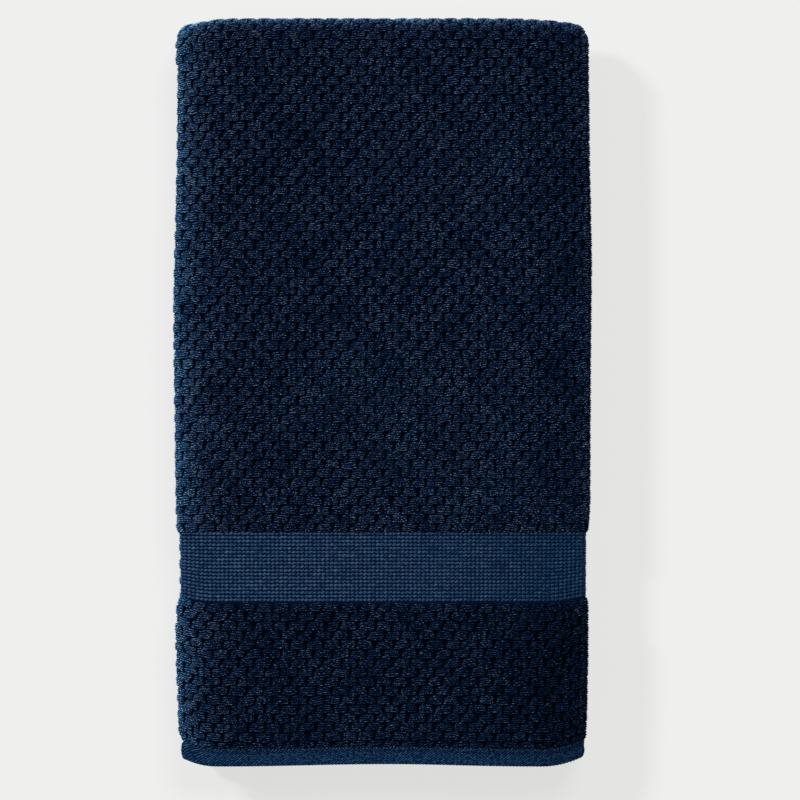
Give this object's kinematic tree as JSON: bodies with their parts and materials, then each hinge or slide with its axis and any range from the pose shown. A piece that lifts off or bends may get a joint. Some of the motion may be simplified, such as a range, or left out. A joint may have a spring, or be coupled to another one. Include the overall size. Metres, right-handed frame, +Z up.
{
  "type": "folded bath sheet",
  "caption": "Large terry bath sheet folded in thirds both ways into a long flat pack, with a woven ribbed band above its hem.",
  "frame": {"origin": "middle of the folded towel's box, on the surface it lies on", "axes": "+Z up from the surface, +Y along the length towards the far fold, so the top hem and its band lie towards -Y, +X across the width"},
  "size_m": [0.3046, 0.546, 0.0454],
  "materials": {
    "terry_cloth": "matt navy looped cotton pile, with a flat woven band and hem of the same yarn"
  },
  "bodies": {
    "root": {"towel_cloth": "terry_cloth"}
  },
  "joints": []
}
